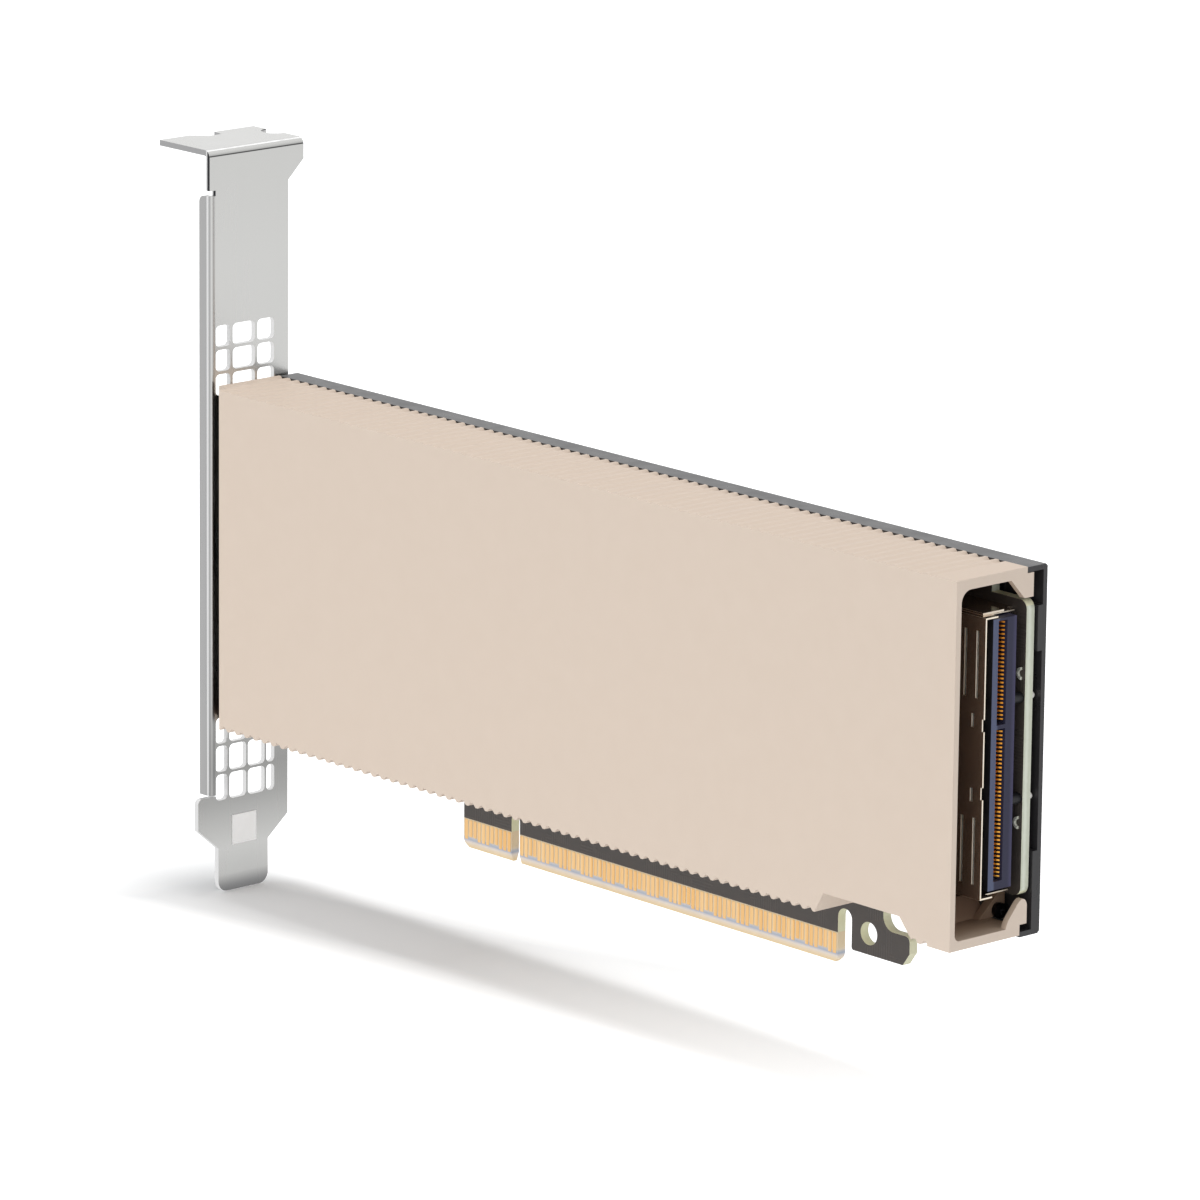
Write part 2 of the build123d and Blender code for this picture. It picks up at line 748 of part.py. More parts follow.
def port_cage(middle):
    """A folded cage for one pluggable module, with pins through the board."""
    width = around(middle, cage_width)
    inside = around(middle, cage_width - 2 * cage_wall)
    cage = block((cage_front, cage_rear), (-cage_height, 0), width)
    cage -= block((cage_front - 1, cage_rear - cage_wall), (-cage_height + cage_wall, -cage_wall), inside)
    mouth = around(middle, port_connector_width + 0.6)
    cage -= block((port_connector_front - 0.5, cage_rear - cage_wall), (-1, 1), mouth)
    cage -= block(cage_window, (-cage_height - 1, -cage_height + 1), around(middle, cage_window_width))
    cage -= block(latch_window, latch_window_height, around(middle, cage_width + 2))
    side = cage_width / 2 - cage_wall / 2
    for x in cage_pin_places:
        for way in (-1, 1):
            pin = around(middle + way * side, cage_pin[1])
            cage += block(around(x, cage_pin[0]), (-0.1, cage_pin_length), pin)
    return cage


def port_gasket(middle):
    """A spring collar on three sides of the cage, with a slotted flange against the bracket."""
    outer = cage_width / 2 + gasket_thickness
    top = -cage_height - gasket_thickness
    collar = block((0, gasket_length), (top, -gasket_low), around(middle, 2 * outer))
    rim = around(middle, 2 * (outer + gasket_flange))
    collar += block((0, gasket_flange_thickness), (top - gasket_flange, -gasket_low), rim)
    collar -= block((-1, gasket_length + 1), (-cage_height, 1), around(middle, cage_width))
    step = cage_width / gasket_slots
    for index in range(gasket_slots):
        z = middle - cage_width / 2 + (index + 0.5) * step
        collar -= block((gasket_length - 2, gasket_length + 1), (top - 1, top + 1), around(z, gasket_slot))
    return collar


def port_connector(middle):
    """The board connector at the back of a cage, with its card slot."""
    body = block((port_connector_front, port_connector_rear), (-port_connector_height, 0),
                 around(middle, port_connector_width))
    slot_x = (port_connector_front - 1, port_connector_front + port_slot_depth)
    body -= block(slot_x, around(-port_slot_middle, port_slot_height), around(middle, port_slot_width))
    return body


def port_contacts(middle):
    """Two rows of contacts on the walls of a port connector's slot."""
    near, far = around(-port_slot_middle, port_slot_height)
    x = (port_connector_front + 0.6, port_connector_front + port_slot_depth - 0.3)
    first = middle - (port_contacts_in_row - 1) / 2 * port_contact_pitch
    contacts = []
    for index in range(port_contacts_in_row):
        z = around(first + index * port_contact_pitch, port_contact_width)
        contacts.append(block(x, (near, near + port_contact_thickness), z))
        contacts.append(block(x, (far - port_contact_thickness, far), z))
    return contacts


def port_heat_sink(middle):
    """A riding heat sink: base on the cage, pedestal through its window, and fins along the air flow."""
    width = around(middle, rider_width)
    base = -cage_height - rider_base
    sink = block(rider_length, (base, -cage_height), width)
    window = (cage_window[0] + pedestal_margin, cage_window[1] - pedestal_margin)
    window_width = around(middle, cage_window_width - 2 * pedestal_margin)
    sink += block(window, (-cage_height, -cage_height + pedestal_drop), window_width)
    top = -cover_depth + front_wall + rider_top_gap
    step = (rider_width - rider_fin_thickness) / (rider_fins - 1)
    for index in range(rider_fins):
        z = width[0] + rider_fin_thickness / 2 + index * step
        sink += block(rider_length, (top, base), around(z, rider_fin_thickness))
    return sink - block(rider_groove, (top - 1, base), around(middle, rider_width + 1))


def port_clip(middle):
    """A spring strip over the riding heat sink's base that hooks down both sides of the cage."""
    x = around(sum(rider_groove) / 2, clip_width)
    outer = cage_width / 2 + clip_gap + clip_thickness
    base = -cage_height - rider_base
    clip = block(x, (base - clip_thickness, -clip_leg_end), around(middle, 2 * outer))
    return clip - block((x[0] - 1, x[1] + 1), (base, 0), around(middle, 2 * (outer - clip_thickness)))


def light_pipes():
    """Two light guides with feet over the lights, joined by a post that stands on the board."""
    depth = (-pipe_face - pipe_size, -pipe_face)
    guides = Part()
    for way in (-1, 1):
        z = around(middle_height + way * pipe_spread, pipe_size)
        guides += block((-sheet, pipe_end), depth, z)
        guides += block((pipe_end - pipe_size, pipe_end), (-pipe_face, -led_size[1] - led_gap), z)
    post = around(middle_height, 2 * pipe_spread - pipe_size)
    return guides + block(pipe_post, (depth[0], 0), post)


def status_leds():
    """The small lights under the light guides."""
    x = around(pipe_end - pipe_size / 2, led_size[0])
    places = [middle_height + way * pipe_spread for way in (-1, 1)]
    return [block(x, (-led_size[1], 0), around(z, led_size[0])) for z in places]


def component(place, size):
    """A block component on the board's component face: size is along X, along Z and height."""
    return block(around(place[0], size[0]), (-size[2], 0), around(place[1], size[1]))


def chip_layer(size, low, height):
    """One square layer of the controller, a given height over the board."""
    return block(around(chip_middle, size), (-low - height, -low), around(middle_height, size))


def heat_sink_core():
    """The finned block on the controller: pedestal, base, fins along the air flow and four posts."""
    pad_top = substrate_height + lid_height + pad_height
    base_low = pad_top + pedestal_height
    core = chip_layer(pedestal_size, pad_top, pedestal_height)
    core += block(core_length, (-base_low - core_base, -base_low), core_span)
    top = -cover_depth + front_wall + core_top_gap
    step = (core_span[1] - core_span[0] - core_fin_thickness) / (core_fins - 1)
    for index in range(core_fins):
        z = core_span[0] + core_fin_thickness / 2 + index * step
        core += block(core_length, (top, -base_low - core_base), around(z, core_fin_thickness))
    for place in core_screw_places():
        core += pin_y(place, core_post_radius, (-base_low, 0))
        core -= pin_y(place, small_screw_radius + screw_fit, (-base_low + 0.4, 0))
    return core


def ceramic_capacitors():
    """Two rows of small capacitors beside the controller."""
    first = middle_height - (ceramic_count - 1) / 2 * ceramic_pitch
    return [component((chip_middle + way * ceramic_offset, first + index * ceramic_pitch), ceramic_size)
            for way in (-1, 1) for index in range(ceramic_count)]


def aux_limits():
    """The auxiliary connector's slot: lower group, upper group and the gap between them."""
    lower_end = aux_first_contact + (aux_lower_contacts - 1) * aux_pitch
    upper_start = lower_end + aux_group_gap
    upper_end = upper_start + (aux_upper_contacts - 1) * aux_pitch
    return aux_first_contact, lower_end, upper_start, upper_end


def aux_connector_housing():
    """Plastic body of the auxiliary connector, with a slot that a rib divides in two."""
    span = around(aux_middle, aux_span)
    base_front = aux_front - aux_nose_length
    body = block((aux_rear, base_front), (-aux_near_face, 0), span)
    body += block((aux_rear, aux_front), (-aux_near_face, -aux_nose_far), span)
    shell_inner = -shell_near_face + shell_sheet
    body += block((aux_rear, aux_rear + aux_rear_block), (shell_inner, 0), span)
    low, lower_end, upper_start, high = aux_limits()
    slot_x = (aux_front - aux_slot_depth, aux_front + 1)
    rib = around((lower_end + upper_start) / 2, aux_rib)
    body -= block(slot_x, aux_slot, (low - aux_slot_margin, rib[0]))
    body -= block(slot_x, aux_slot, (rib[1], high + aux_slot_margin))
    for place in guide_places():
        body += pin_y(place, aux_foot_radius, (-aux_nose_far - 0.1, 0))
    return body


def aux_contacts(wall, inward):
    """One row of the auxiliary connector's contacts, on one wall of its slot."""
    low, lower_end, upper_start, high = aux_limits()
    places = [low + index * aux_pitch for index in range(aux_lower_contacts)]
    places += [upper_start + index * aux_pitch for index in range(aux_upper_contacts)]
    front = aux_front - aux_contact_start
    bulge = front - aux_contact_ramp
    rear = front - aux_contact_length
    reach = wall + inward * aux_contact_reach
    root = wall + inward * aux_contact_root
    spring = make_face(Polyline((front, wall), (bulge, reach), (rear, root), (rear, wall), close=True))
    return [through_z(spring, around(z, aux_contact_width)) for z in places]


def aux_connector_shell():
    """The folded shield: near wall with slits, and top and bottom walls that stand on the board."""
    height = (shell_bottom, shell_top)
    inside = (shell_bottom + shell_sheet, shell_top - shell_sheet)
    middle = (shell_bottom + shell_top) / 2
    shell_rear = aux_rear + 1
    wall_front = aux_front - shell_wall_from_front
    shell = block((shell_rear, aux_front), (-shell_near_face, -shell_lip), height)
    shell += block((shell_rear, wall_front), (-shell_near_face, -shell_wall_end), height)
    shell += block((shell_rear, aux_front - aux_nose_length), (-shell_near_face, 0), height)
    shell -= block((shell_rear - 1, aux_front + 1), (-shell_near_face + shell_sheet, 1), inside)
    pad = [aux_front - reach for reach in reversed(shell_pad_from_front)]
    shell += block(pad, shell_pad_depth, (inside[1], shell_top + shell_pad_height))
    notch_from, notch_to, notch_depth = shell_edge_notch
    for way in (-1, 1):
        long_slit = sorted(middle + way * reach for reach in shell_slit_span)
        for column in shell_slit_columns:
            shell -= shell_slit(column, long_slit)
        short_slit = sorted(middle + way * reach for reach in shell_short_slit_span)
        shell -= shell_slit(shell_short_slit_column, short_slit)
        notch = sorted((middle + way * notch_from, middle + way * notch_to))
        near_wall = (-shell_near_face - 1, -shell_near_face + shell_sheet)
        shell -= block((aux_front - notch_depth, aux_front + 1), near_wall, notch)
    return shell


def shell_slit(from_front, z):
    """A slit through the shield's near wall."""
    return block(around(aux_front - from_front, shell_slit_width), (-shell_near_face - 1, -aux_near_face), z)


def aux_board_locks():
    """Two half-round clips of the shield on the board's component face."""
    half = patch((0, lock_outer + 1), (-lock_outer - 1, lock_outer + 1))
    ring = Circle(lock_outer) - Circle(lock_inner) - half
    x = tongue_right - lock_from_end
    places = [(x, aux_middle + way * lock_from_middle) for way in (-1, 1)]
    return [through_y(Pos(*place) * ring, (-lock_height, 0)) for place in places]


def aux_guide_pins():
    """Two plastic pegs under the auxiliary connector's feet, through the board."""
    end = board_thickness + guide_length
    pegs = []
    for place in guide_places():
        peg = pin_y(place, guide_radius, (0, end))
        tip = peg.edges().filter_by(GeomType.CIRCLE).sort_by(Axis.Y)[-1]
        pegs.append(chamfer([tip], guide_tip))
    return pegs


def save(name, shapes):
    """Moves a piece to the card's own frame and writes it as one file."""
    solids = shapes if isinstance(shapes, list) else [shapes]
    whole = Compound(children=[solid for shape in solids for solid in shape.solids()])
    export_step(Pos(-key_from_bracket, 0, 0) * whole, f"parts/{name}.step")


def make_card():
    """Builds every piece and writes its file."""
    save("bracket", bracket())
    save("bracket_label", bracket_label())
    save("heat_sink_cover", heat_sink_cover())
    save("circuit_board", circuit_board())
    save("edge_contacts_front", edge_contacts(0, -1))
    save("edge_contacts_back", edge_contacts(board_thickness, 1))
    save("back_plate", back_plate())
    save("insulating_film", insulating_film())
    save("cover_screws", cover_screws())
    save("bracket_screws", board_screws(bracket_screw_places(), sheet))
    save("core_screws", board_screws(core_screw_places(), core_screw_engagement))
    save("end_screw", end_screw())
    for side, middle in port_middles.items():
        save(f"port_cage_{side}", port_cage(middle))
        save(f"port_gasket_{side}", port_gasket(middle))
        save(f"port_connector_{side}", port_connector(middle))
        save(f"port_contacts_{side}", port_contacts(middle))
        save(f"port_heat_sink_{side}", port_heat_sink(middle))
        save(f"port_clip_{side}", port_clip(middle))
    save("light_pipes", light_pipes())
    save("status_leds", status_leds())
    save("controller_substrate", chip_layer(substrate_size, 0, substrate_height))
    save("controller_lid", chip_layer(lid_size, substrate_height, lid_height))
    save("chip_thermal_pad", chip_layer(lid_size, substrate_height + lid_height, pad_height))
    save("heat_sink_core", heat_sink_core())
    inductor = (inductor_size, inductor_size, inductor_height)
    save("power_inductors", [component((inductor_middle, z), inductor) for z in stage_heights])
    stage = (power_stage_size, power_stage_size, power_stage_height)
    save("power_stages", [component((power_stage_middle, z), stage) for z in stage_heights])
    save("bulk_capacitors", [component((bulk_middle, z), bulk_size) for z in bulk_heights])
    save("ceramic_capacitors", ceramic_capacitors())
    save("flash_chip", component(flash_place, flash_size))
    save("clock_oscillator", component(clock_place, clock_size))
    save("aux_connector_housing", aux_connector_housing())
    save("aux_connector_shell", aux_connector_shell())
    save("aux_contacts_near", aux_contacts(aux_slot[0], 1))
    save("aux_contacts_far", aux_contacts(aux_slot[1], -1))
    save("aux_board_locks", aux_board_locks())
    save("aux_guide_pins", aux_guide_pins())


os.makedirs("parts", exist_ok=True)
make_card()
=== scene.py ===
"""A network adapter card with its heat sink cover and bracket, finished for pictures."""
from math import pi, radians

import bmesh
import bpy
from mathutils import Matrix, Vector


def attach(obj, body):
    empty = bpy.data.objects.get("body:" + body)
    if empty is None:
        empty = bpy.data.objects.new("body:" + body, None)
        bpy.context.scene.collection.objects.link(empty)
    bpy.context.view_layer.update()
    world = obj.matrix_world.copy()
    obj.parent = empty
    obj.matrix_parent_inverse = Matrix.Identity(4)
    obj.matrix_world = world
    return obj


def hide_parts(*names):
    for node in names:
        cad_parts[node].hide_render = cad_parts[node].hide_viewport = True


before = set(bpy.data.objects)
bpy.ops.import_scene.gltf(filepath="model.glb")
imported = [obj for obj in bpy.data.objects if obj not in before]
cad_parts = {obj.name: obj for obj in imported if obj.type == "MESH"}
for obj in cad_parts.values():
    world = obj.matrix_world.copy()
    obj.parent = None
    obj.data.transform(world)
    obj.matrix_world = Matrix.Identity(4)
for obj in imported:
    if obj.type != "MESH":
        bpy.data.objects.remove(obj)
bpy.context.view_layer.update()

# Circuit board
# Pressed glass-fibre laminate with a black solder mask on both faces, routed to its outline.
# The cut edges and the bevelled zone round the gold contacts stay bare and pale.
MM = 0.001
MERGE_WITHIN = 0.002 * MM
CUT_WITHIN = 0.0001 * MM
SAME_PLANE = radians(0.6)
SMOOTH_BELOW = radians(48)
SQUARE_ON = 0.9
PATCH_SHARE = 0.08


def paint(code):
    """A colour as it is written on a paint card, in the linear values that shaders use."""
    channels = [int(code[start:start + 2], 16) / 255 for start in (1, 3, 5)]
    linear = [c / 12.92 if c <= 0.04045 else ((c + 0.055) / 1.055) ** 2.4 for c in channels]
    return (*linear, 1.0)


def add_node(owner, kind, settings, links):
    """Adds one shader node. Settings are attributes, inputs or colour stops, and links go into inputs."""
    node = owner.node_tree.nodes.new(kind)
    for name, value in settings.items():
        if name == "stops":
            ramp = node.color_ramp.elements
            ramp.remove(ramp[1])
            ramp[0].position, ramp[0].color = value[0][0], paint(value[0][1])
            for place, code in value[1:]:
                ramp.new(place).color = paint(code)
        elif isinstance(name, str) and hasattr(node, name):
            setattr(node, name, value)
        else:
            node.inputs[name].default_value = value
    for name, socket in links.items():
        owner.node_tree.links.new(node.inputs[name], socket)
    return node


def surface(name, color, metallic, roughness, **settings):
    """A new material with its plain values set on the shader's own sockets."""
    material = bpy.data.materials.new(name)
    material.use_nodes = True
    shader = material.node_tree.nodes["Principled BSDF"]
    shader.inputs["Base Color"].default_value = paint(color)
    shader.inputs["Metallic"].default_value = metallic
    shader.inputs["Roughness"].default_value = roughness
    for setting, value in settings.items():
        shader.inputs[setting.replace("_", " ")].default_value = value
    return material


def into_shader(material, **sockets):
    """Links sockets into the material's shader."""
    shader = material.node_tree.nodes["Principled BSDF"]
    for name, socket in sockets.items():
        material.node_tree.links.new(shader.inputs[name.replace("_", " ")], socket)


def place_on(material, stretch=(1, 1, 1), seed=(0, 0, 0)):
    """The piece's own coordinates in metres, stretched for a pattern that runs one way."""
    place = add_node(material, "ShaderNodeTexCoord", {}, {})
    turned = add_node(material, "ShaderNodeMapping", {"Scale": stretch, "Location": seed},
                      {"Vector": place.outputs["Object"]})
    return turned.outputs["Vector"]


def tone_along(material, axis, span, stops):
    """A colour that changes along one of the piece's axes, over a span given in metres."""
    split = add_node(material, "ShaderNodeSeparateXYZ", {}, {"Vector": place_on(material)})
    share = add_node(material, "ShaderNodeMapRange", {"From Min": span[0], "From Max": span[1]},
                     {"Value": split.outputs[axis]})
    return add_node(material, "ShaderNodeValToRGB", {"stops": stops}, {"Fac": share.outputs["Result"]}).outputs[0]


def grain(material, size, depth, roughness, tones=None, stretch=(1, 1, 1), tint=None, relief=None):
    """Surface grain of a real size in metres: bump, uneven gloss and a slight change of tone.

    Real coats and castings have grain of a few hundredths of a millimetre. It is drawn at 0.06 mm to
    1 mm, as coarse as it needs to be to show, and patches of tone are about twelve times as wide.
    """
    place = place_on(material, stretch)
    fine = add_node(material, "ShaderNodeTexNoise", {"Scale": 1 / size, "Detail": 4.0, "Roughness": 0.6},
                    {"Vector": place})
    broad = add_node(material, "ShaderNodeTexNoise", {"Scale": PATCH_SHARE / size, "Detail": 3.0},
                     {"Vector": place})
    bump = add_node(material, "ShaderNodeBump", {"Strength": 1.0, "Distance": depth},
                    {"Height": fine.outputs["Fac"]})
    if relief:
        bump = add_node(material, "ShaderNodeBump", {"Strength": 1.0, "Distance": relief[1]},
                        {"Height": relief[0], "Normal": bump.outputs["Normal"]})
    gloss = add_node(material, "ShaderNodeMapRange",
                     {"From Min": 0.3, "From Max": 0.7, "To Min": roughness[0], "To Max": roughness[1]},
                     {"Value": broad.outputs["Fac"]})
    into_shader(material, Normal=bump.outputs["Normal"], Roughness=gloss.outputs["Result"])
    if tones:
        color = add_node(material, "ShaderNodeMix", {"data_type": "RGBA", 6: paint(tones[0]), 7: paint(tones[1])},
                         {0: broad.outputs["Fac"]}).outputs[2]
        if tint:
            color = add_node(material, "ShaderNodeMix", {"data_type": "RGBA", "blend_type": "MULTIPLY", 0: 1.0},
                             {6: color, 7: tint}).outputs[2]
        into_shader(material, Base_Color=color)
    return material


def edged(node, edge, segments=2, sharp=25):
    """A copy of a CAD piece with its outer edges broken, which then stands for that piece."""
    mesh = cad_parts[node].data.copy()
    mesh.materials.clear()
    work = bmesh.new()
    work.from_mesh(mesh)
    bmesh.ops.remove_doubles(work, verts=work.verts, dist=MERGE_WITHIN)
    bmesh.ops.dissolve_limit(work, angle_limit=SAME_PLANE, verts=work.verts, edges=work.edges)
    if edge:
        keen = [e for e in work.edges if len(e.link_faces) == 2 and e.calc_face_angle(0) > radians(sharp)]
        broken = bmesh.ops.bevel(work, geom=keen, offset=edge, affect="EDGES", segments=segments, profile=0.5,
                                 clamp_overlap=True, material=-1)
        for face in broken["faces"]:
            face.material_index = 1
    for face in work.faces:
        face.smooth = True
    for e in work.edges:
        e.smooth = len(e.link_faces) != 2 or e.calc_face_angle(0) < SMOOTH_BELOW
    work.to_mesh(mesh)
    work.free()
    piece = bpy.data.objects.new(node + "_finished", mesh)
    bpy.context.scene.collection.objects.link(piece)
    even = piece.modifiers.new("flat faces stay flat", "WEIGHTED_NORMAL")
    even.keep_sharp = True
    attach(piece, "root")
    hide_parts(node)
    return piece


def dress(piece, slot, finish, rim=None, **others):
    """Gives a piece its finish, another one on its broken edges, and others on the faces they choose."""
    for material in [finish, rim or finish] + [material for material, chooses in others.values()]:
        piece.data.materials.append(material)
    for face in piece.data.polygons:
        middle = face.center / MM
        broken = face.material_index == 1
        for number, (material, chooses) in enumerate(others.values()):
            if chooses(middle, face.normal, broken):
                face.material_index = number + 2
                break


# Black solder mask: printed and cured resin. The eye gets a warm satin black, a little proud where
# copper traces run below it, in patches that each run one way.
MASK_END = 4.75 * MM
PADS_END = 72.4
TAB_START = 100.0
TOP_EDGE = 64.0
TRACE_PITCH = 0.5 * MM
TRACE_PATCH = 5.0 * MM
black_mask = surface("black solder mask", "#45403C", 0.0, 0.4)
on_face = place_on(black_mask, stretch=(1, 0, 1))
patch = add_node(black_mask, "ShaderNodeTexVoronoi", {"distance": "CHEBYCHEV", "Scale": 1 / TRACE_PATCH},
                 {"Vector": on_face})
choice = add_node(black_mask, "ShaderNodeSeparateColor", {}, {"Color": patch.outputs["Color"]})
across = add_node(black_mask, "ShaderNodeSeparateXYZ", {}, {"Vector": on_face})
turned = add_node(black_mask, "ShaderNodeMath", {"operation": "GREATER_THAN", 1: 0.5}, {0: choice.outputs["Red"]})
course = add_node(black_mask, "ShaderNodeMix", {}, {0: turned.outputs[0], 2: across.outputs["X"],
                                                    3: across.outputs["Z"]})
wave = add_node(black_mask, "ShaderNodeMath", {"operation": "MULTIPLY", 1: 2 * pi / TRACE_PITCH},
                {0: course.outputs[0]})
wave = add_node(black_mask, "ShaderNodeMath", {"operation": "SINE"}, {0: wave.outputs[0]})
line = add_node(black_mask, "ShaderNodeMapRange", {"From Min": 0.1, "From Max": 0.5}, {"Value": wave.outputs[0]})
routed = add_node(black_mask, "ShaderNodeMath", {"operation": "GREATER_THAN", 1: 0.45},
                  {0: choice.outputs["Green"]})
trace = add_node(black_mask, "ShaderNodeMath", {"operation": "MULTIPLY"},
                 {0: line.outputs["Result"], 1: routed.outputs[0]})
over_copper = add_node(black_mask, "ShaderNodeMix", {"data_type": "RGBA", 6: paint("#F0F0F0"),
                                                     7: paint("#FFFFFF")}, {0: trace.outputs[0]})
grain(black_mask, 0.25 * MM, 0.005 * MM, (0.34, 0.46), ("#423D3A", "#504944"), tint=over_copper.outputs[2],
      relief=(trace.outputs[0], 0.02 * MM))

# Cut glass laminate: routed edges. The eye gets a matt, pale green-grey with the glass layers as
# fine lines along it, and a warmer tone in drilled and notched holes.
LAYER = 0.2 * MM
cut_edge = surface("cut glass laminate", "#D6DACB", 0.0, 0.6)
layers = add_node(cut_edge, "ShaderNodeTexWave", {"bands_direction": "Y", "Scale": 0.05 / LAYER, "Distortion": 1.5,
                                                  "Detail": 2.0, "Detail Scale": 3.0},
                  {"Vector": place_on(cut_edge)})
layer_tone = add_node(cut_edge, "ShaderNodeMix", {"data_type": "RGBA", 6: paint("#E9E9E4"), 7: paint("#FFFFFF")},
                      {0: layers.outputs["Fac"]})
grain(cut_edge, 0.12 * MM, 0.008 * MM, (0.5, 0.7), ("#D2D7C6", "#DFE3D6"), tint=layer_tone.outputs[2])
hole_edge = grain(surface("drilled glass laminate", "#DEDDBC", 0.0, 0.55), 0.12 * MM, 0.01 * MM, (0.5, 0.7),
                  ("#D9D8B4", "#E6E5CA"), stretch=(1, 0.25, 1))

# Bare laminate at the contacts: resin without mask, ground to a bevel below. The eye gets honey-pale
# resin, a blue-grey line just under the pads and pale gold on the bevel.
ZONE = (0.0, 2.4 * MM)
contact_zone = surface("bare laminate at the contacts", "#EBDDC6", 0.0, 0.45)
zone = tone_along(contact_zone, "Z", ZONE, [
    (0.0, "#F3D9A8"), (0.22, "#F8E4C4"), (0.42, "#F3E9E0"), (0.52, "#DAD6DC"), (0.6, "#B4C0D2"),
    (0.7, "#C8CCD6"), (0.84, "#EBDCC6"), (1.0, "#EBD8B8")])
grain(contact_zone, 0.15 * MM, 0.006 * MM, (0.4, 0.55), ("#F2F0EC", "#FFFFFF"), tint=zone)

board = edged("circuit_board", 0.05 * MM, segments=1)
work = bmesh.new()
work.from_mesh(board.data)
geometry = work.verts[:] + work.edges[:] + work.faces[:]
bmesh.ops.bisect_plane(work, geom=geometry, plane_co=(0, 0, MASK_END), plane_no=(0, 0, 1), dist=CUT_WITHIN)
work.to_mesh(board.data)
work.free()
dress(board, "board_laminate", black_mask, cut_edge,
      pads=(contact_zone, lambda at, out, rim: at.x < PADS_END and at.z < MASK_END / MM),
      holes=(hole_edge, lambda at, out, rim: abs(out.y) < SQUARE_ON and at.z < TOP_EDGE
             and (out.x < SQUARE_ON or at.x < TAB_START)),
      edges=(cut_edge, lambda at, out, rim: abs(out.y) < SQUARE_ON))

# Gold contacts of the card edge
# Copper pads plated with nickel and hard gold, 1 mm apart on both faces, with softly rounded edges.
# The eye gets pale, soft-edged gold, and each pad takes the plating a little differently.
CONTACT_PITCH = 1.0 * MM
SPRING_ROWS = (15 * MM, 65 * MM)
gold = surface("hard gold plating", "#FAD298", 1.0, 0.3)
along = add_node(gold, "ShaderNodeSeparateXYZ", {}, {"Vector": place_on(gold, seed=(0.5 * MM, 0, 0))})
number = add_node(gold, "ShaderNodeMath", {"operation": "DIVIDE", 1: CONTACT_PITCH}, {0: along.outputs["X"]})
number = add_node(gold, "ShaderNodeMath", {"operation": "FLOOR"}, {0: number.outputs[0]})
chance = add_node(gold, "ShaderNodeTexWhiteNoise", {"noise_dimensions": "1D"}, {"W": number.outputs[0]})
pad_tone = add_node(gold, "ShaderNodeMix", {"data_type": "RGBA", 6: paint("#F8EAD4"), 7: paint("#FFFFFF")},
                    {0: chance.outputs["Value"]})
grain(gold, 0.3 * MM, 0.003 * MM, (0.26, 0.4), ("#F9CD8E", "#FFDCAA"), stretch=(1, 1, 0.2),
      tint=pad_tone.outputs[2])

# Gold plated springs: thin formed contacts in a dark slot. The eye gets deep orange gold, darker towards the top.
spring_gold = surface("gold plated springs", "#F2A93C", 1.0, 0.28)
row_tone = tone_along(spring_gold, "Z", SPRING_ROWS, [(0.0, "#FFFFFF"), (0.5, "#F4E2CC"), (1.0, "#B4906C")])
grain(spring_gold, 0.2 * MM, 0.003 * MM, (0.24, 0.36), ("#F6AC3C", "#FFCB68"), tint=row_tone)
for node in ("edge_contacts_front", "edge_contacts_back"):
    dress(edged(node, 0.02 * MM, segments=1), "contact_gold", gold)

# Components on the board
# Moulded chips, pressed inductors, resin capacitors and small ceramic ones, soldered in rows.
# The eye gets matt blacks and browns, a satin green chip base and a bright lid, all softly grained.
chip_black = grain(surface("moulded chip", "#242426", 0.0, 0.55), 0.08 * MM, 0.01 * MM, (0.5, 0.65),
                   ("#212123", "#2B2B2E"))
ferrite = grain(surface("pressed ferrite", "#3C3C3F", 0.0, 0.6), 0.1 * MM, 0.015 * MM, (0.5, 0.7),
                ("#38383B", "#454549"))
resin = grain(surface("capacitor resin", "#2E2B29", 0.0, 0.45), 0.1 * MM, 0.008 * MM, (0.4, 0.5),
              ("#2A2725", "#353230"))
ceramic = grain(surface("fired ceramic", "#9B7C58", 0.0, 0.5), 0.06 * MM, 0.006 * MM, (0.45, 0.6),
                ("#93744F", "#A78963"))
nickel_lid = grain(surface("nickel plated lid", "#B4B3B0", 1.0, 0.3), 0.3 * MM, 0.003 * MM, (0.25, 0.38),
                   ("#ACABA8", "#BDBCB9"))
green_base = grain(surface("green chip base", "#2F5A3C", 0.0, 0.4), 0.2 * MM, 0.005 * MM, (0.35, 0.5),
                   ("#2A5236", "#356444"))
soft_pad = grain(surface("soft thermal pad", "#8C99A6", 0.0, 0.8), 0.2 * MM, 0.02 * MM, (0.75, 0.9),
                 ("#8491A0", "#96A2AE"))
clear_resin = grain(surface("clear light resin", "#E6E2C8", 0.0, 0.25), 0.1 * MM, 0.003 * MM, (0.2, 0.3),
                    ("#E0DCC0", "#EEEAD4"))
component_finish = {
    "flash_chip": (chip_black, "black_plastic"), "power_stages": (chip_black, "black_plastic"),
    "power_inductors": (ferrite, "ferrite"), "bulk_capacitors": (resin, "capacitor_resin"),
    "ceramic_capacitors": (ceramic, "ceramic"), "clock_oscillator": (nickel_lid, "chip_lid"),
    "controller_substrate": (green_base, "substrate"), "controller_lid": (nickel_lid, "chip_lid"),
    "chip_thermal_pad": (soft_pad, "thermal_pad"), "status_leds": (clear_resin, "light_chip"),
}
for node, (finish, slot_name) in component_finish.items():
    dress(edged(node, 0.08 * MM), slot_name, finish)

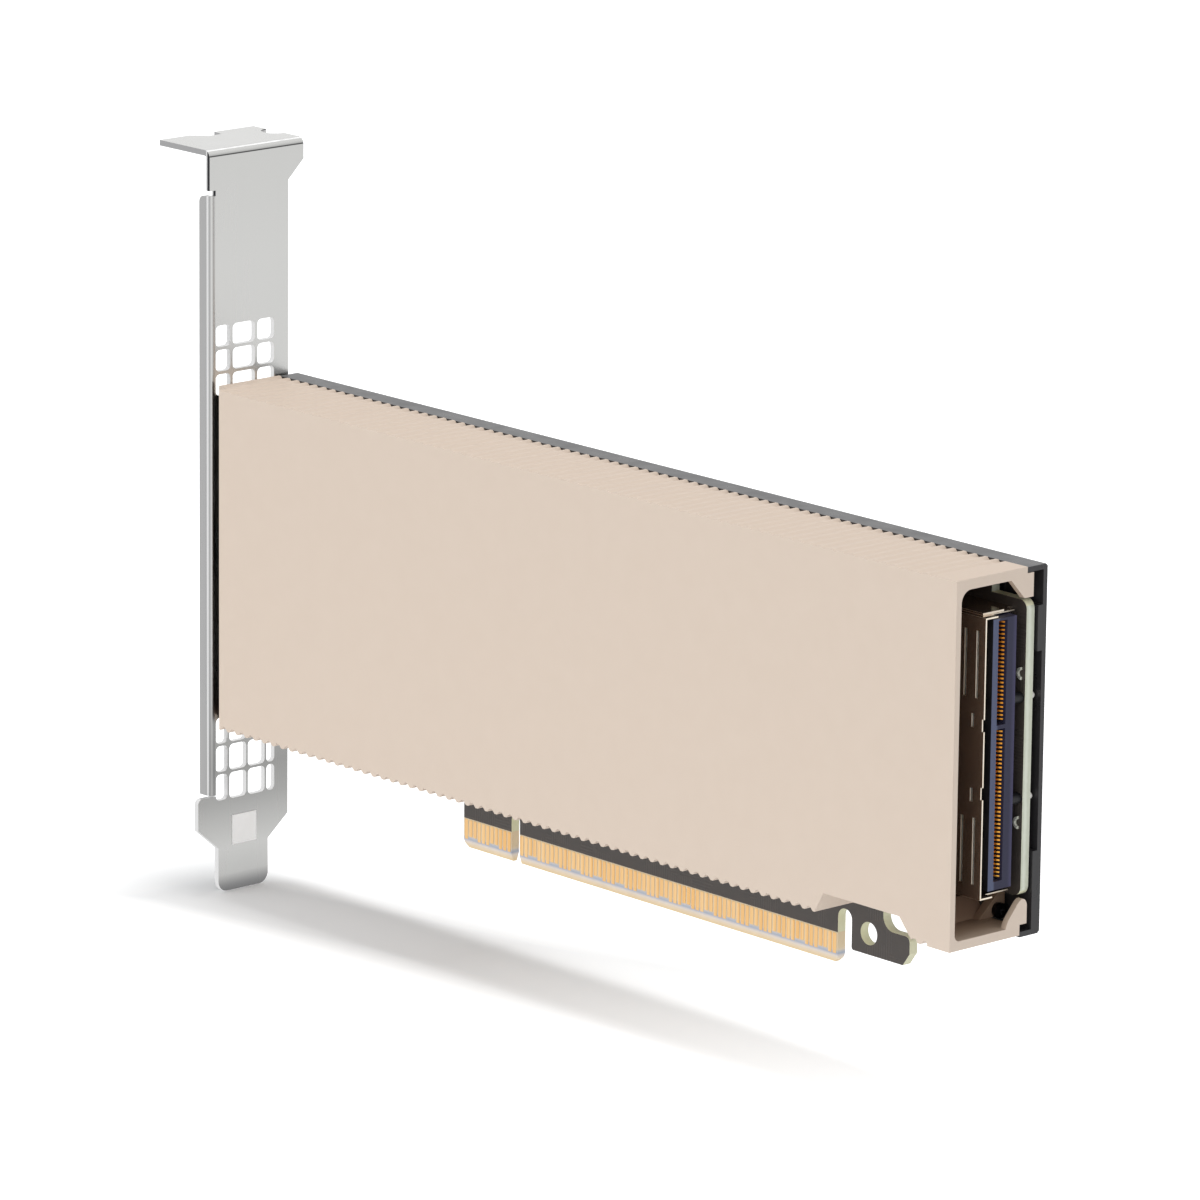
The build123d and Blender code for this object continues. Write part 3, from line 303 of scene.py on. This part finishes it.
# Module ports
# Stamped and folded cages with a spring collar each, a black connector inside, and on top a small
# extruded heat sink that a spring clip holds down. The eye gets satin tin with brighter sheared
# edges, aluminium drawn in fine lines along the card, and smooth clear plastic that shines through.
tin = grain(surface("tin plated sheet", "#B9B8B3", 1.0, 0.34), 0.5 * MM, 0.004 * MM, (0.28, 0.42),
            ("#ACABA7", "#C6C5C0"), stretch=(0.3, 1, 1))
tin_edge = grain(surface("sheared tin edge", "#D9D8D3", 1.0, 0.3), 0.2 * MM, 0.004 * MM, (0.26, 0.4),
                 ("#CFCEC9", "#E2E1DC"))
bare_aluminium = grain(surface("extruded aluminium", "#C9C9CA", 1.0, 0.38), 0.12 * MM, 0.006 * MM, (0.32, 0.45),
                       ("#BDBDBF", "#D3D3D3"), stretch=(0.03, 1, 1))
for side in ("upper", "lower"):
    dress(edged("port_cage_" + side, 0.06 * MM), "cage_metal", tin, tin_edge)
    dress(edged("port_gasket_" + side, 0.04 * MM, segments=1), "cage_metal", tin, tin_edge)
    dress(edged("port_clip_" + side, 0.05 * MM, segments=1), "cage_metal", tin, tin_edge)
    dress(edged("port_connector_" + side, 0.12 * MM), "black_plastic", chip_black)
    dress(edged("port_contacts_" + side, 0.03 * MM, segments=1), "contact_gold", spring_gold)
    dress(edged("port_heat_sink_" + side, 0.08 * MM, segments=1), "bare_aluminium", bare_aluminium)
clear_plastic = surface("clear moulded plastic", "#F2F5F4", 0.0, 0.12, Transmission_Weight=0.85, IOR=1.49)
grain(clear_plastic, 0.5 * MM, 0.002 * MM, (0.08, 0.16))
dress(edged("light_pipes", 0.12 * MM), "light_guide", clear_plastic)

# Finned block on the controller
# Extruded and milled aluminium, pulled onto the chip by four screws from the solder side.
dress(edged("heat_sink_core", 0.1 * MM, segments=1), "bare_aluminium", bare_aluminium)

# Auxiliary connector
# A moulded body in dark blue-grey with two rows of gold springs, inside a folded shield. The eye gets satin
# plastic with painted shade, darker away from its front and black on its feet and near band, dark plating smooth
# as a mirror with a brown tint that is a painted reflection, sheared edges painted bright as a highlight, and pale
# clips and pegs.
NEAR_BAND = -6.15
FOOT_START = -1.95
SEEN_PAST_SHIELD = 2.2 * MM
FACES_FRONT = 0.8
blue_grey = surface("blue-grey plastic", "#5A5E78", 0.0, 0.4, Specular_IOR_Level=0.2)
# Painted shade: the body darkens away from its near band, deeper inside the shield.
depth_shade = tone_along(blue_grey, "Y", (NEAR_BAND * MM, FOOT_START * MM), [
    (0.0, "#59607A"), (0.13, "#59607A"), (0.2, "#35354A"), (0.8, "#35354A"), (1.0, "#4A4866")])
grain(blue_grey, 0.1 * MM, 0.006 * MM, (0.34, 0.46), ("#F0F0F2", "#FFFFFF"), tint=depth_shade)
# This black is painted shade: the housing's feet and its near band stand in a dark gap and are given it.
black_plastic = surface("black plastic as painted shade", "#1A1A1D", 0.0, 0.4, Specular_IOR_Level=0.25)
grain(black_plastic, 0.1 * MM, 0.006 * MM, (0.36, 0.5), ("#18181A", "#202024"))
# The brown tint of this plating is a painted reflection of the cover's shaded inside.
plating_with_brown_reflection = grain(surface("nickel plating with a painted brown reflection", "#BCA795", 0.9, 0.16), 0.6 * MM, 0.002 * MM, (0.08, 0.18),
                    ("#B49F8D", "#C6B19F"), stretch=(1, 1, 0.3))
# Sheared edges painted near white: a painted highlight.
edge_highlight = grain(surface("sheared edge with a painted highlight", "#FFF2DE", 1.0, 0.38), 0.1 * MM, 0.004 * MM, (0.34, 0.46),
                    ("#FBEBD3", "#FFF8EC"))
pale_clip = grain(surface("pale tinned clip", "#DCDDCF", 0.4, 0.4), 0.1 * MM, 0.004 * MM, (0.34, 0.46),
                  ("#D5D7C6", "#E6E7DC"))
pale_plastic = grain(surface("pale moulded plastic", "#F4F3EC", 0.0, 0.45), 0.1 * MM, 0.006 * MM, (0.4, 0.5),
                     ("#EFEEE6", "#F9F8F3"))
shell = edged("aux_connector_shell", 0.04 * MM)
dress(shell, "shield_metal", plating_with_brown_reflection, edge_highlight,
      cuts=(edge_highlight, lambda at, out, rim: out.x > FACES_FRONT))
shell_front = max(corner.co.x for corner in shell.data.vertices)

# Plastic wall inside the shield: painted pale as light coming through where the slits show it, and painted black
# as shade where it ends at the front.
wall = surface("plastic wall inside the shield with painted light and shade", "#8A8984", 0.0, 0.45, Specular_IOR_Level=0.25)
reach = add_node(wall, "ShaderNodeSeparateXYZ", {}, {"Vector": place_on(wall)})
reach = add_node(wall, "ShaderNodeMath", {"operation": "GREATER_THAN", 1: shell_front - SEEN_PAST_SHIELD},
                 {0: reach.outputs["X"]})
wall_light_and_shade = add_node(wall, "ShaderNodeMix", {"data_type": "RGBA", 6: paint("#F4F3EC"), 7: paint("#1A1A1D")},
                     {0: reach.outputs[0]})
grain(wall, 0.1 * MM, 0.006 * MM, (0.4, 0.5), ("#F0F0F0", "#FFFFFF"), tint=wall_light_and_shade.outputs[2])
dress(edged("aux_connector_housing", 0.1 * MM), "connector_plastic", blue_grey,
      side=(wall, lambda at, out, rim: at.y < NEAR_BAND and out.y < -SQUARE_ON),
      feet=(black_plastic, lambda at, out, rim: at.y > FOOT_START or at.y < NEAR_BAND))
for node in ("aux_contacts_near", "aux_contacts_far"):
    dress(edged(node, 0.05 * MM), "contact_gold", spring_gold)
dress(edged("aux_board_locks", 0.06 * MM), "shield_metal", pale_clip)
dress(edged("aux_guide_pins", 0.12 * MM), "peg_plastic", pale_plastic)

# Heat sink cover
# Die-cast light metal with a fine champagne satin coat, ribbed along its long edges. The eye gets a soft even
# sheen and paler worn edges, with painted shade on the upward faces of the top and inside, where a rougher copy of
# the coat darkens with depth.
# The ribs on top are ground low except beside the plate.
INSIDE_FRONT = -13.75
INSIDE_TOP = 66.25
INSIDE_BOTTOM = 14.05
CUTOUT_TOP = 24.0
MOUTH = 110.4
MOUTH_REACH = (96.4 * MM, 110.4 * MM)
RIB_CREST = 67.65 * MM
RIB_VALLEY = 67.05 * MM
RIB_FOOT = 66.5 * MM
RIBS_FLAT = -2.0 * MM
RIBS_FULL = -0.9 * MM
RIBS_KEPT = 0.25
FACES_UP = 0.3
FACES_DOWN = -0.1
champagne = grain(surface("champagne satin coat", "#D8C7B6", 0.0, 0.5), 0.3 * MM, 0.003 * MM, (0.46, 0.6),
                  ("#D6C5B5", "#DACABB"))
# The top's upward faces get a darker copy of the coat: painted shade, as they take more light than the front.
shaded_top_coat = grain(surface("champagne coat with painted shade on the top", "#CCBCAC", 0.0, 0.5), 0.3 * MM, 0.003 * MM,
                    (0.46, 0.6), ("#C8B6A6", "#CCBBAB"), stretch=(1, 0.1, 1))
worn_coat = grain(surface("champagne coat worn thin", "#DFD0C1", 0.1, 0.42), 0.2 * MM, 0.003 * MM, (0.38, 0.5),
                  ("#DBCBBA", "#E4D6C8"))
# Painted shade inside: a rougher copy of the coat, darker the deeper it lies from the open end.
shaded_inside = surface("inside wall with painted shade", "#8A705F", 0.0, 0.6)
inside_shade_tone = tone_along(shaded_inside, "X", MOUTH_REACH, [
    (0.0, "#6B5344"), (0.45, "#8A6F5C"), (0.75, "#B59C86"), (1.0, "#D6C2AF")])
grain(shaded_inside, 0.25 * MM, 0.02 * MM, (0.5, 0.7), ("#EDEAE6", "#FFFFFF"), tint=inside_shade_tone)
cover = edged("heat_sink_cover", 0.16 * MM, segments=3)
work = bmesh.new()
work.from_mesh(cover.data)
for place in (RIBS_FLAT, RIBS_FULL):
    top = {face for face in work.faces if min(v.co.z for v in face.verts) > RIB_FOOT}
    geometry = list(top | {e for face in top for e in face.edges} | {v for face in top for v in face.verts})
    bmesh.ops.bisect_plane(work, geom=geometry, plane_co=(0, place, 0), plane_no=(0, 1, 0), dist=CUT_WITHIN)
for corner in work.verts:
    if corner.co.z > RIB_FOOT and corner.co.y < RIBS_FLAT + MERGE_WITHIN / 2:
        share = (corner.co.z - RIB_FOOT) / (RIB_VALLEY - RIB_FOOT)
        raised = RIB_CREST - (RIB_CREST - max(corner.co.z, RIB_VALLEY)) * RIBS_KEPT
        corner.co.z = raised if share > 1 else RIB_FOOT + share * (raised - RIB_FOOT)
work.to_mesh(cover.data)
work.free()
dress(cover, "cover_metal", champagne, worn_coat,
      ribs=(shaded_top_coat, lambda at, out, rim: at.z > RIB_FOOT / MM and out.z > FACES_UP),
      inside=(shaded_inside, lambda at, out, rim: at.y > INSIDE_FRONT and INSIDE_BOTTOM < at.z < INSIDE_TOP
              and at.x < MOUTH and (at.z > CUTOUT_TOP or out.z > FACES_DOWN)))

# Film and back plate
# A thin black film keeps the plate off the soldered pins. The plate is folded steel with a sprayed
# black coat, hooked over the card's long edges. The eye gets a dark satin that mirrors the room at a
# low angle, a little lighter on its folds.
film = grain(surface("black film", "#1E1E20", 0.0, 0.3), 1.0 * MM, 0.01 * MM, (0.22, 0.38),
             ("#1B1B1D", "#242427"))
black_coat = grain(surface("black satin coat", "#2C2B2D", 0.0, 0.3), 0.3 * MM, 0.003 * MM, (0.26, 0.36),
                   ("#29282A", "#313032"))
coat_rim = grain(surface("black coat at the folds", "#434246", 0.0, 0.28), 0.2 * MM, 0.003 * MM, (0.24, 0.34),
                 ("#3F3E41", "#4B4A4E"))
dress(edged("insulating_film", 0), "film", film)
dress(edged("back_plate", 0.12 * MM, segments=2), "plate_metal", black_coat, coat_rim)

# Screws
# Machine screws, black zinc in the cover and plate and bright zinc under the board. The eye gets a
# dull dark metal with small glints, and a satin silver.
black_zinc = grain(surface("black zinc", "#2B2B2D", 1.0, 0.35), 0.1 * MM, 0.004 * MM, (0.3, 0.42),
                   ("#28282A", "#333336"))
bright_zinc = grain(surface("bright zinc", "#BFC1C4", 1.0, 0.3), 0.1 * MM, 0.004 * MM, (0.25, 0.36),
                    ("#B7B9BC", "#C9CBCE"))
dress(edged("cover_screws", 0.06 * MM, segments=1), "dark_screws", black_zinc)
dress(edged("end_screw", 0.06 * MM, segments=1), "dark_screws", black_zinc)
dress(edged("bracket_screws", 0.08 * MM, segments=1), "steel_screws", bright_zinc)
dress(edged("core_screws", 0.08 * MM, segments=1), "steel_screws", bright_zinc)

# Bracket
# One stamped and folded steel sheet with a bright nickel plate. The eye gets a satin mirror: its folds and its
# foot get soft bands of painted reflection, set by which way each face turns and by height, and its broken edges a
# painted white highlight. A blank sticker sits over its tongue.
SHEET_OUTER = -58.05
SHEET_INNER = -57.25
CUT_ACROSS = 0.5
HEAD_START = 90.0
BANDS_START = 96.5
BANDS_ACROSS = (-60 * MM, -57 * MM)
BRACKET_HEIGHT = (-15 * MM, 105 * MM)
nickel = surface("bright nickel plate", "#D0D0CE", 1.0, 0.24)
# Painted reflection: bands of tone set by which way each face turns stand in for the room seen in the folds.
facing = add_node(nickel, "ShaderNodeNewGeometry", {}, {})
facing = add_node(nickel, "ShaderNodeSeparateXYZ", {}, {"Vector": facing.outputs["Normal"]})
flat_part = add_node(nickel, "ShaderNodeMath", {"operation": "ABSOLUTE"}, {0: facing.outputs["X"]})
side_part = add_node(nickel, "ShaderNodeMath", {"operation": "ABSOLUTE"}, {0: facing.outputs["Y"]})
side_fold_reflection = add_node(nickel, "ShaderNodeValToRGB",
                     {"stops": [(0.0, "#F8F8F8"), (0.125, "#F2F2F2"), (0.25, "#D4D4D6"), (0.41, "#DADADC"),
                                (0.51, "#FFFFFF"), (0.61, "#FFFFFF"), (0.71, "#D6D6D8"), (1.0, "#D0D0D2")]},
                     {"Fac": side_part.outputs[0]})
top_fold_reflection = add_node(nickel, "ShaderNodeValToRGB",
                    {"stops": [(0.0, "#FFFFFF"), (0.1, "#FFFFFF"), (0.16, "#5A5A5C"), (0.24, "#626264"),
                               (0.36, "#E4E4E4"), (0.6, "#FFFFFF"), (1.0, "#FFFFFF")]},
                    {"Fac": facing.outputs["Z"]})
height = add_node(nickel, "ShaderNodeSeparateXYZ", {}, {"Vector": place_on(nickel)})
near_top = add_node(nickel, "ShaderNodeMath", {"operation": "GREATER_THAN", 1: HEAD_START * MM},
                    {0: height.outputs["Z"]})
folds = add_node(nickel, "ShaderNodeMix", {"data_type": "RGBA", "blend_type": "MULTIPLY"},
                 {0: near_top.outputs[0], 6: side_fold_reflection.outputs["Color"], 7: top_fold_reflection.outputs["Color"]})
# Painted reflection of the floor's shadow and the cover's underside: darker bands near the foot.
foot_reflection = tone_along(nickel, "Z", BRACKET_HEIGHT, [
    (0.0, "#8E8E90"), (0.009, "#A8A8AA"), (0.024, "#E8E8E8"), (0.06, "#F6F6F6"), (0.1, "#E0E0E0"),
    (0.125, "#CECECE"), (0.167, "#C0C0C0"), (0.208, "#CCCCCC"), (0.27, "#E8E8E8"), (0.34, "#F8F8F8"),
    (0.85, "#FFFFFF"), (1.0, "#FAFAFA")])
tone = add_node(nickel, "ShaderNodeMix", {"data_type": "RGBA", "blend_type": "MULTIPLY"},
                {0: flat_part.outputs[0], 6: folds.outputs[2], 7: foot_reflection})
grain(nickel, 0.4 * MM, 0.0006 * MM, (0.2, 0.3), ("#D4D4D2", "#DCDCDA"), stretch=(1, 1, 0.08),
      tint=tone.outputs[2])
# Broken edges painted near white: a painted highlight.
nickel_edge_highlight = grain(surface("painted highlight on the nickel plate's broken edges", "#F6F6F5", 1.0, 0.25), 0.2 * MM, 0.002 * MM,
                   (0.2, 0.32), ("#F0F0EF", "#FFFFFF"))

# Plated shear face: cut before plating and rougher, and painted near white as a highlight. On the head's near end
# the cut face is painted in bands across the sheet: grey, then a thin white highlight line, then dark along its
# inner half.
sheared = grain(surface("plated shear face with a painted highlight", "#E6E6E6", 1.0, 0.4), 0.12 * MM, 0.006 * MM, (0.36, 0.5),
                ("#DEDEDE", "#F2F2F2"), stretch=(1, 1, 0.2))
banded_shear_face = surface("shear face painted in bands", "#9A9A9C", 1.0, 0.4)
across_sheet = tone_along(banded_shear_face, "X", BANDS_ACROSS, [
    (0.0, "#B7B7B8"), (0.62, "#B7B7B8"), (0.66, "#F4F4F4"), (0.72, "#F4F4F4"), (0.75, "#3A3A3D"),
    (1.0, "#3A3A3D")])
above_bands_start = add_node(banded_shear_face, "ShaderNodeSeparateXYZ", {}, {"Vector": place_on(banded_shear_face)})
above_bands_start = add_node(banded_shear_face, "ShaderNodeMath", {"operation": "GREATER_THAN", 1: BANDS_START * MM},
                {0: above_bands_start.outputs["Z"]})
shear_band_tone = add_node(banded_shear_face, "ShaderNodeMix", {"data_type": "RGBA", 6: paint("#F4F4F4")},
                     {0: above_bands_start.outputs[0], 7: across_sheet})
grain(banded_shear_face, 0.12 * MM, 0.006 * MM, (0.36, 0.5), ("#E2E2E2", "#FFFFFF"), stretch=(1, 1, 0.2),
      tint=shear_band_tone.outputs[2])
sticker = grain(surface("white sticker", "#FDFDFC", 0.0, 0.5), 0.2 * MM, 0.004 * MM, (0.45, 0.55),
                ("#FBFBFA", "#FFFFFF"))
dress(edged("bracket", 0.14 * MM), "plated_steel", nickel, nickel_edge_highlight,
      head=(banded_shear_face, lambda at, out, rim: not rim and out.y < -SQUARE_ON and at.z > HEAD_START),
      cuts=(sheared, lambda at, out, rim: not rim and abs(out.x) < CUT_ACROSS
            and SHEET_OUTER < at.x < SHEET_INNER))
dress(edged("bracket_label", 0.02 * MM, segments=1), "label_paper", sticker)

# Floor
# A matt white sheet under the card. It is white in reflections, and to the camera and through clear plastic it
# gets a painted brightening away from a band below the card. There it keeps the card's shadow, which that
# brightening fades towards the open end.
FLOOR_LEVEL = -14.96 * MM
FLOOR_SIZE = 12.0
SHADOW_FADE = (-5 * MM, 95 * MM)
SHADOW_WIDTH = (8 * MM, 26 * MM)
SHADOW_END = (-62 * MM, -90 * MM)
SHADOW_SLOPE = 0.19
SHADOW_SHIFT = 2.3 * MM
FULL_LIFT = 0.5
floor_mesh = bpy.data.meshes.new("floor")
work = bmesh.new()
bmesh.ops.create_grid(work, x_segments=1, y_segments=1, size=FLOOR_SIZE)
bmesh.ops.translate(work, verts=work.verts, vec=(0, 0, FLOOR_LEVEL))
work.to_mesh(floor_mesh)
work.free()
floor = bpy.data.objects.new("floor", floor_mesh)
bpy.context.scene.collection.objects.link(floor)
white_sheet = surface("white studio sheet", "#F7F8F9", 0.0, 0.9)
path = add_node(white_sheet, "ShaderNodeLightPath", {}, {})
seen = add_node(white_sheet, "ShaderNodeMath", {"operation": "MAXIMUM"},
                {0: path.outputs["Is Camera Ray"], 1: path.outputs["Is Transmission Ray"]})
spot = add_node(white_sheet, "ShaderNodeSeparateXYZ", {}, {"Vector": place_on(white_sheet)})
fade = add_node(white_sheet, "ShaderNodeMapRange",
                {"From Min": SHADOW_FADE[0], "From Max": SHADOW_FADE[1], "To Max": FULL_LIFT},
                {"Value": spot.outputs["X"]})
end = add_node(white_sheet, "ShaderNodeMapRange",
               {"From Min": SHADOW_END[0], "From Max": SHADOW_END[1], "To Max": FULL_LIFT},
               {"Value": spot.outputs["X"]})
aside = add_node(white_sheet, "ShaderNodeMath", {"operation": "MULTIPLY_ADD", 1: -SHADOW_SLOPE, 2: SHADOW_SHIFT},
                 {0: spot.outputs["X"]})
aside = add_node(white_sheet, "ShaderNodeMath", {"operation": "ADD"},
                 {0: aside.outputs[0], 1: spot.outputs["Y"]})
aside = add_node(white_sheet, "ShaderNodeMath", {"operation": "ABSOLUTE"}, {0: aside.outputs[0]})
side = add_node(white_sheet, "ShaderNodeMapRange",
                {"From Min": SHADOW_WIDTH[0], "From Max": SHADOW_WIDTH[1], "To Max": FULL_LIFT},
                {"Value": aside.outputs[0]})
lift = add_node(white_sheet, "ShaderNodeMath", {"operation": "MAXIMUM"},
                {0: fade.outputs["Result"], 1: end.outputs["Result"]})
lift = add_node(white_sheet, "ShaderNodeMath", {"operation": "MAXIMUM"}, {0: lift.outputs[0],
                                                                         1: side.outputs["Result"]})
lift = add_node(white_sheet, "ShaderNodeMath", {"operation": "MULTIPLY"}, {0: seen.outputs[0], 1: lift.outputs[0]})
sheet_shader = white_sheet.node_tree.nodes["Principled BSDF"]
sheet_shader.inputs["Emission Color"].default_value = paint("#FFFFFF")
into_shader(white_sheet, Emission_Strength=lift.outputs[0])
mirrored = add_node(white_sheet, "ShaderNodeEmission", {"Color": paint("#FFFFFF")}, {})
either = add_node(white_sheet, "ShaderNodeMixShader", {},
                  {0: path.outputs["Is Glossy Ray"], 1: sheet_shader.outputs["BSDF"], 2: mirrored.outputs[0]})
white_sheet.node_tree.links.new(white_sheet.node_tree.nodes["Material Output"].inputs["Surface"],
                                either.outputs[0])
floor.data.materials.append(white_sheet)

# Light
# A white room that is brighter in front of the card than above and beside it, with a little more at
# the open end, and one soft lamp overhead for the shadow. To the camera and in reflections the room
# is plain white.
SKY = 0.16
FRONT_SKY = 1.25
BACK_SKY = 0.4
END_SKY = 0.3
FRONT_START = 0.3
END_START = 0.3
world = bpy.data.worlds.new("studio")
bpy.context.scene.world = world
world.use_nodes = True
path = add_node(world, "ShaderNodeLightPath", {}, {})
seen = add_node(world, "ShaderNodeMath", {"operation": "MAXIMUM"},
                {0: path.outputs["Is Camera Ray"], 1: path.outputs["Is Transmission Ray"]})
seen = add_node(world, "ShaderNodeMath", {"operation": "MAXIMUM"},
                {0: seen.outputs[0], 1: path.outputs["Is Glossy Ray"]})
way = add_node(world, "ShaderNodeTexCoord", {}, {})
way = add_node(world, "ShaderNodeSeparateXYZ", {}, {"Vector": way.outputs["Generated"]})
front = add_node(world, "ShaderNodeMapRange",
                 {"From Min": FRONT_START, "From Max": -1.0, "To Min": SKY, "To Max": SKY + FRONT_SKY},
                 {"Value": way.outputs["Y"]})
back = add_node(world, "ShaderNodeMapRange", {"To Max": BACK_SKY}, {"Value": way.outputs["Y"]})
end = add_node(world, "ShaderNodeMapRange", {"From Min": END_START, "To Max": END_SKY},
               {"Value": way.outputs["X"]})
sky = add_node(world, "ShaderNodeMath", {"operation": "ADD"}, {0: front.outputs["Result"],
                                                              1: back.outputs["Result"]})
sky = add_node(world, "ShaderNodeMath", {"operation": "ADD"}, {0: sky.outputs[0], 1: end.outputs["Result"]})
strength = add_node(world, "ShaderNodeMapRange", {}, {"Value": seen.outputs[0], "To Min": sky.outputs[0]})
room = world.node_tree.nodes["Background"]
room.inputs["Color"].default_value = paint("#FFFFFF")
world.node_tree.links.new(room.inputs["Strength"], strength.outputs["Result"])


def lamp(name, place, target, size, power):
    """A square soft lamp that points at a place."""
    light = bpy.data.lights.new(name, "AREA")
    light.size = size
    light.energy = power
    holder = bpy.data.objects.new(name, light)
    holder.location = place
    holder.rotation_euler = (Vector(target) - Vector(place)).to_track_quat("-Z", "Y").to_euler()
    bpy.context.scene.collection.objects.link(holder)


CARD_MIDDLE = (25 * MM, -5 * MM, 40 * MM)
LAMP_PLACE = (0.0, 0.06, 1.2)
LAMP_SIZE = 0.24
LAMP_POWER = 6.4
lamp("overhead lamp", LAMP_PLACE, CARD_MIDDLE, LAMP_SIZE, LAMP_POWER)

# Camera
# A long lens at the photograph's angle: far off to the right of the card, a little above it.
eye = Vector((922.09 * MM, -817.66 * MM, 343.59 * MM))
ahead = Vector((-0.720109, 0.651863, -0.237735))
tilt = radians(0.616)
lens = bpy.data.cameras.new("camera")
lens.lens = 248.06
lens.sensor_width = 36.0
lens.clip_start = 0.05
lens.clip_end = 30.0
camera = bpy.data.objects.new("camera", lens)
camera.location = eye
aim = ahead.to_track_quat("-Z", "Y").to_matrix() @ Matrix.Rotation(tilt, 3, "Z")
camera.rotation_euler = aim.to_euler()
bpy.context.scene.collection.objects.link(camera)
bpy.context.scene.camera = camera
bpy.context.scene.view_settings.view_transform = "Standard"
